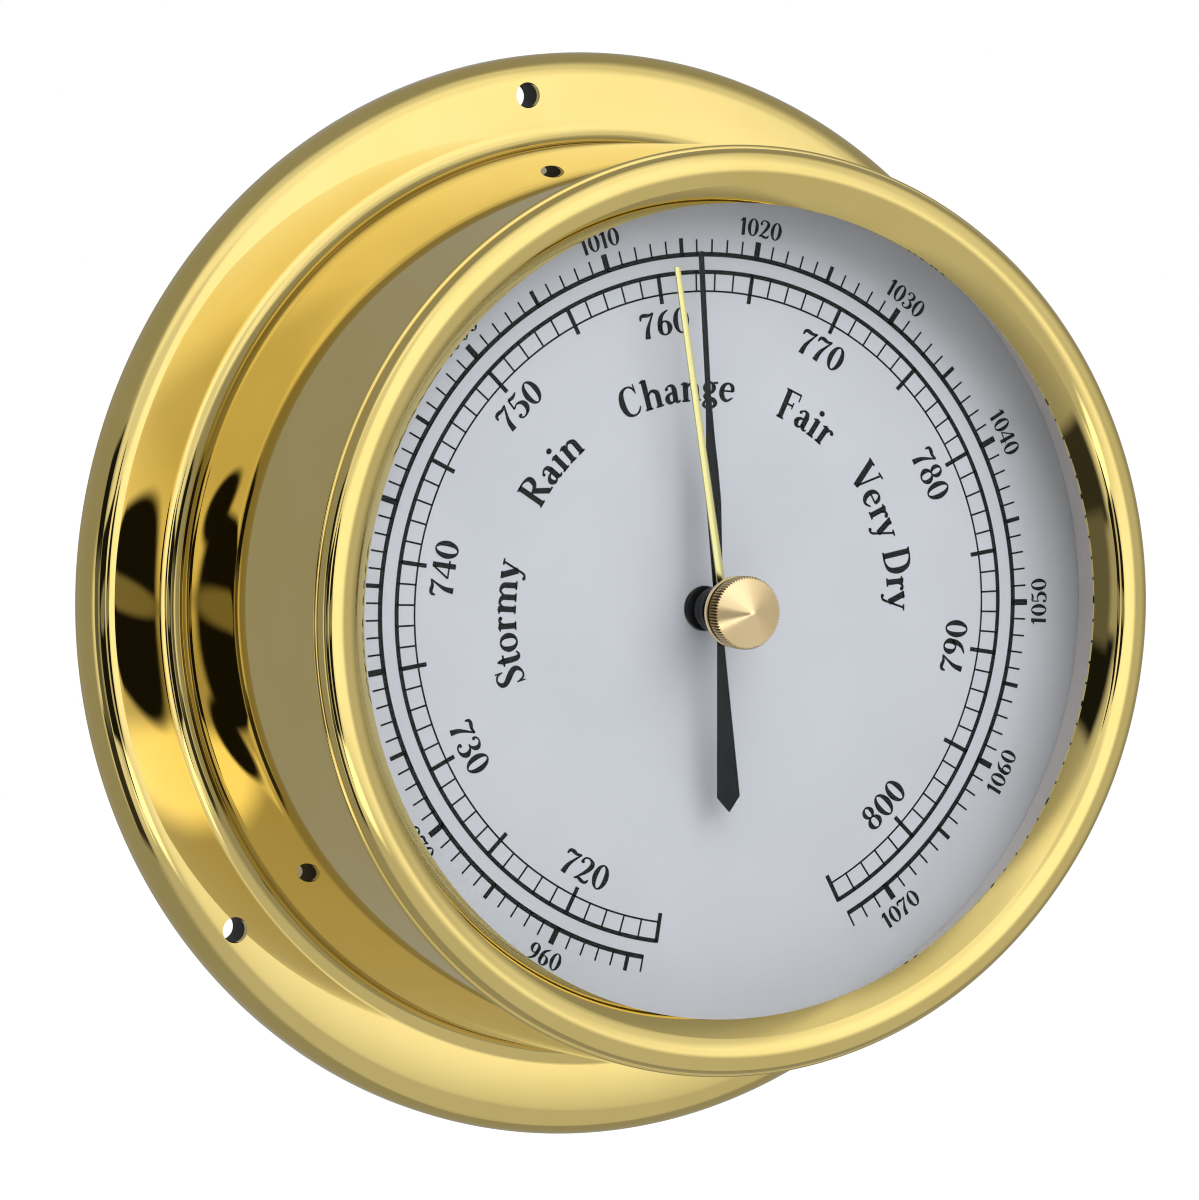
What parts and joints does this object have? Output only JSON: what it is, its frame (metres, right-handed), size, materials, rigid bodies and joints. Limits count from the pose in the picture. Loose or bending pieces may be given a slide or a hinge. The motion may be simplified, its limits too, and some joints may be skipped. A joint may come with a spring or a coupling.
{
  "type": "marine barometer",
  "caption": "Round brass aneroid barometer for a bulkhead: flanged drum case, domed bezel, glass, dial with two scales, pointer, set hand with knurled knob.",
  "frame": {"origin": "centre of the mounting plane at the back", "axes": "dial faces -Y, +Z is the top of the dial, +X is to the right seen from the front"},
  "size_m": [0.11, 0.0384, 0.11],
  "materials": {
    "brass_case": "polished and lacquered",
    "brass_bezel": "polished and lacquered",
    "brass_hand": "polished",
    "brass_knob": "turned, straight knurl",
    "brass_movement": "plain",
    "clear_glass": "polished",
    "dial_paint": "satin",
    "pale_ring": "satin",
    "black_lacquer": "semi-gloss",
    "black_moulding": "matt",
    "black_rubber": "matt",
    "bright_steel": "plain",
    "nickel_silver": "satin"
  },
  "bodies": {
    "case_body": {"case_shell": "brass_case", "bezel": "brass_bezel", "glass_seal": "black_rubber", "glass": "clear_glass", "spacer_ring": "pale_ring", "dial_plate": "dial_paint", "friction_washer": "black_lacquer", "rear_housing": "black_moulding", "base_plate": "brass_movement", "base_screws": "bright_steel", "capsule_rear": "nickel_silver", "capsule_front": "nickel_silver", "capsule_base_stud": "bright_steel", "spring_bridge": "brass_movement", "main_spring": "bright_steel", "spring_screws": "bright_steel", "lever_yoke": "brass_movement", "lever_pin": "bright_steel", "pivot_lugs": "brass_movement", "chain": "bright_steel", "hairspring": "nickel_silver", "rear_bridge": "brass_movement", "front_bridge": "brass_movement", "bridge_pillars": "brass_movement", "bridge_spacers": "brass_movement", "bridge_screws": "bright_steel"},
    "pointer_body": {"pointer": "black_lacquer", "pointer_hub": "black_lacquer", "pointer_arbor": "bright_steel"},
    "set_body": {"set_hand": "brass_hand", "set_collar": "black_lacquer", "set_spindle": "brass_hand", "set_knob": "brass_knob"},
    "rocker_body": {"rocker_shaft": "bright_steel"},
    "lever_body": {"main_lever": "brass_movement", "link_rod": "bright_steel"},
    "capsule_body": {"capsule_stud": "bright_steel"},
    "calibrator_body": {"calibrating_screw": "bright_steel"}
  },
  "joints": [
    {"name": "capsule_travel", "type": "slide", "parent": "case_body", "child": "capsule_body", "axis": [0, 1, 0], "range_m": [-0.00052, 0.00048], "stiffness_N_per_m": 5200, "deforming": ["capsule_front", "main_spring"]},
    {"name": "lever_turn", "type": "hinge", "parent": "case_body", "child": "lever_body", "pos_m": [0, -0.0164, -0.024], "axis": [1, 0, 0], "range_deg": [-1.19, 1.27]},
    {"name": "rocker_turn", "type": "hinge", "parent": "case_body", "child": "rocker_body", "pos_m": [0, -0.011, 0.028], "axis": [1, 0, 0], "range_deg": [-11.93, 11.21]},
    {"name": "pointer_turn", "type": "hinge", "parent": "case_body", "child": "pointer_body", "pos_m": [0, -0.025, 0], "axis": [0, 1, 0], "range_deg": [-170.3, 160.7], "deforming": ["hairspring", "chain"]},
    {"name": "set_turn", "type": "hinge", "parent": "case_body", "child": "set_body", "pos_m": [0, -0.0335, 0], "axis": [0, 1, 0], "continuous": true},
    {"name": "calibrator_turn", "type": "hinge", "parent": "case_body", "child": "calibrator_body", "pos_m": [0, -0.006, -0.026], "axis": [0, 1, 0], "range_deg": [-180, 180]}
  ],
  "couplings": [
    {"joint": "pointer_turn", "follows": "capsule_travel", "rad_per_m": 5608},
    {"joint": "rocker_turn", "follows": "capsule_travel", "rad_per_m": 391.67},
    {"joint": "lever_turn", "follows": "capsule_travel", "rad_per_m": -41.667}
  ]
}
